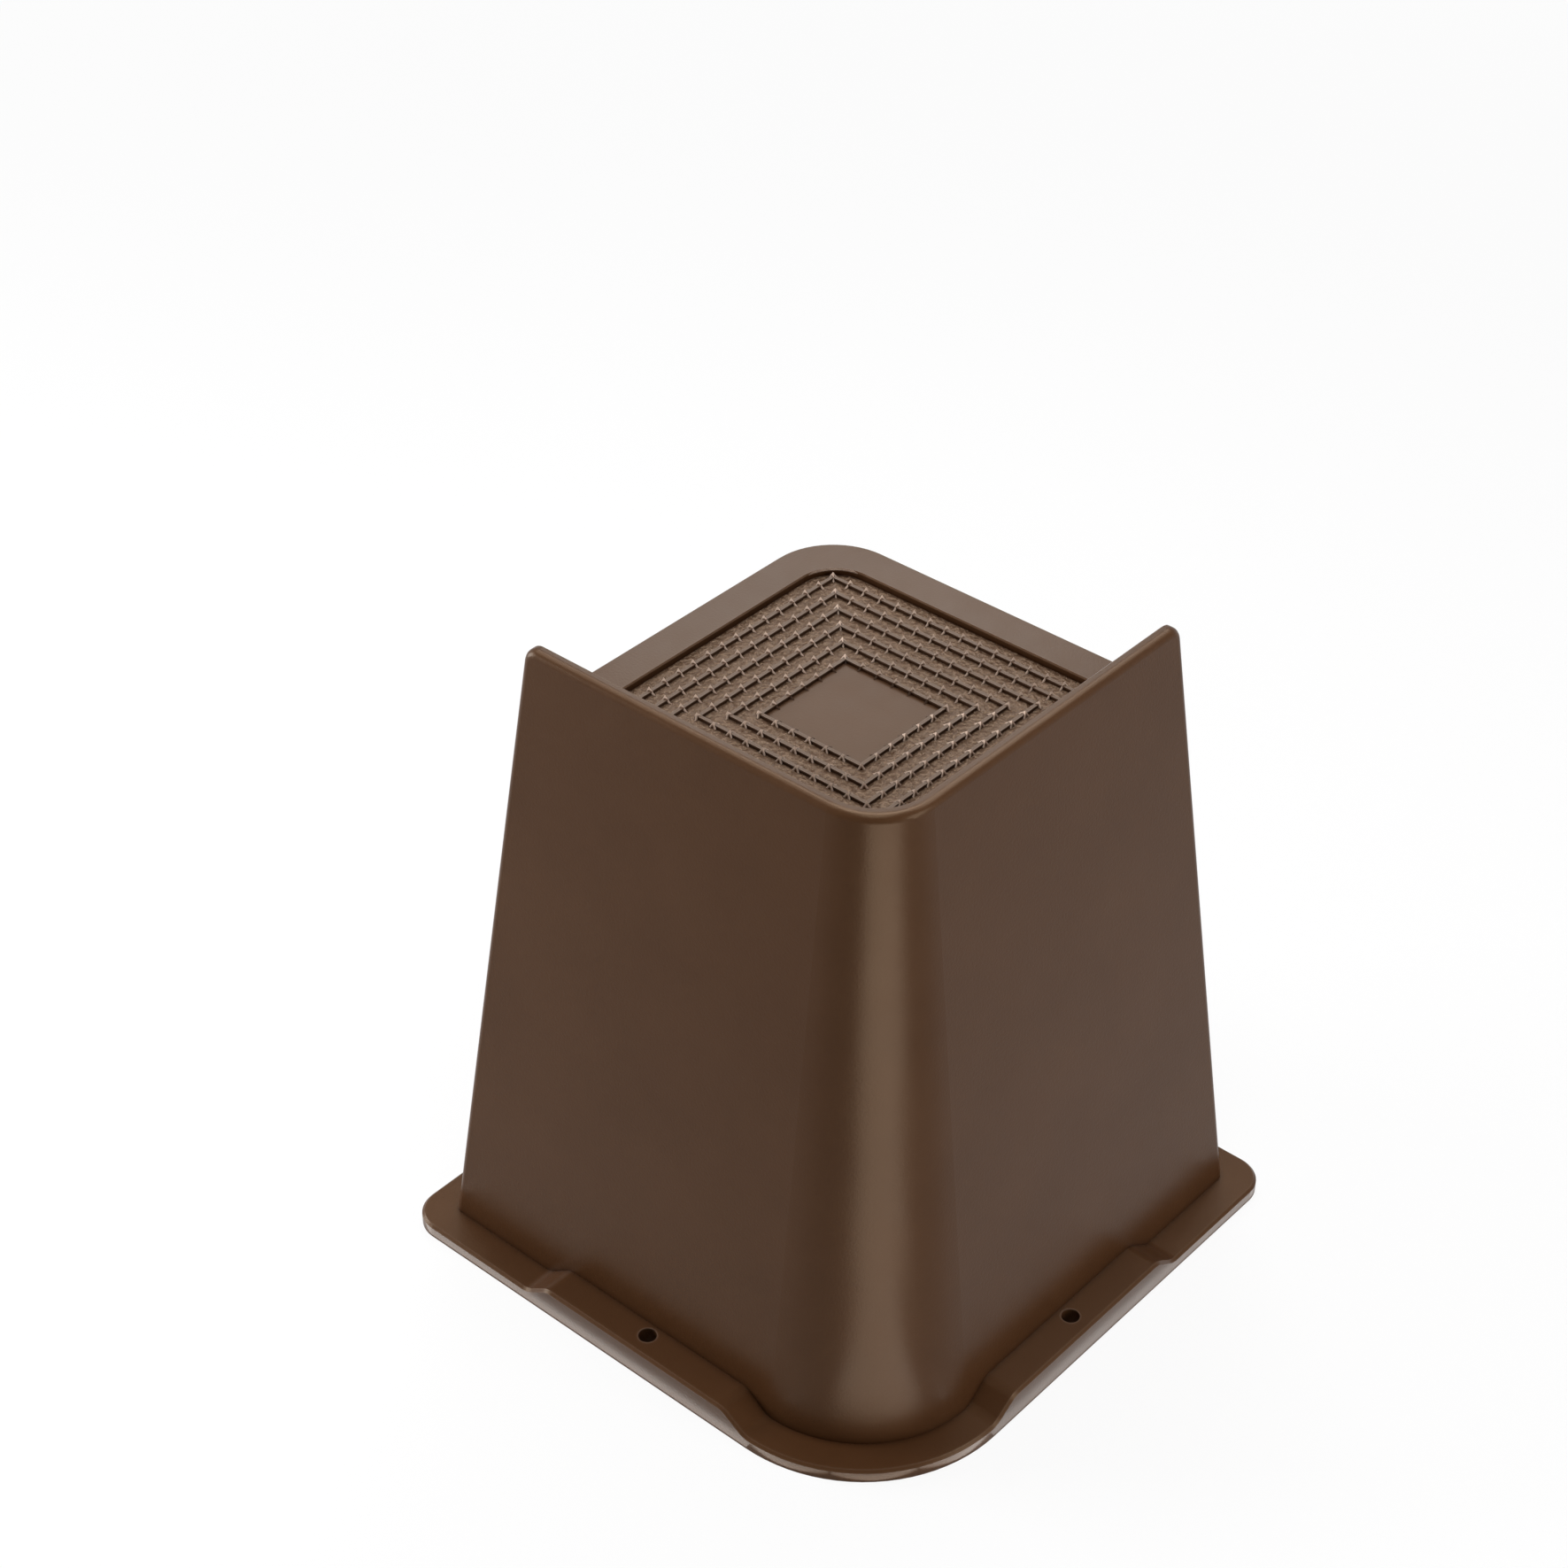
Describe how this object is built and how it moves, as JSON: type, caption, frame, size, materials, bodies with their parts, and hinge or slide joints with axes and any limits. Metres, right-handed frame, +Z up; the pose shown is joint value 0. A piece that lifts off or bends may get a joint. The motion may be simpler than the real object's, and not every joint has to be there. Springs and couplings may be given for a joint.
{
  "type": "bed riser",
  "caption": "Hollow drafted square foot with a base flange, a sunk toothed tread and an L-shaped corner guard, which raises a bed or furniture leg off the floor.",
  "frame": {"origin": "centre of the base flange's square outline, on the floor", "axes": "+Z up, from the floor to the platform; the guard stands on the +X and -Y sides and its rounded corner points to +X -Y"},
  "size_m": [0.1536, 0.1536, 0.1715],
  "materials": {
    "riser": "satin matte brown plastic with a fine moulded grain"
  },
  "bodies": {
    "root": {"riser": "riser"}
  },
  "joints": []
}
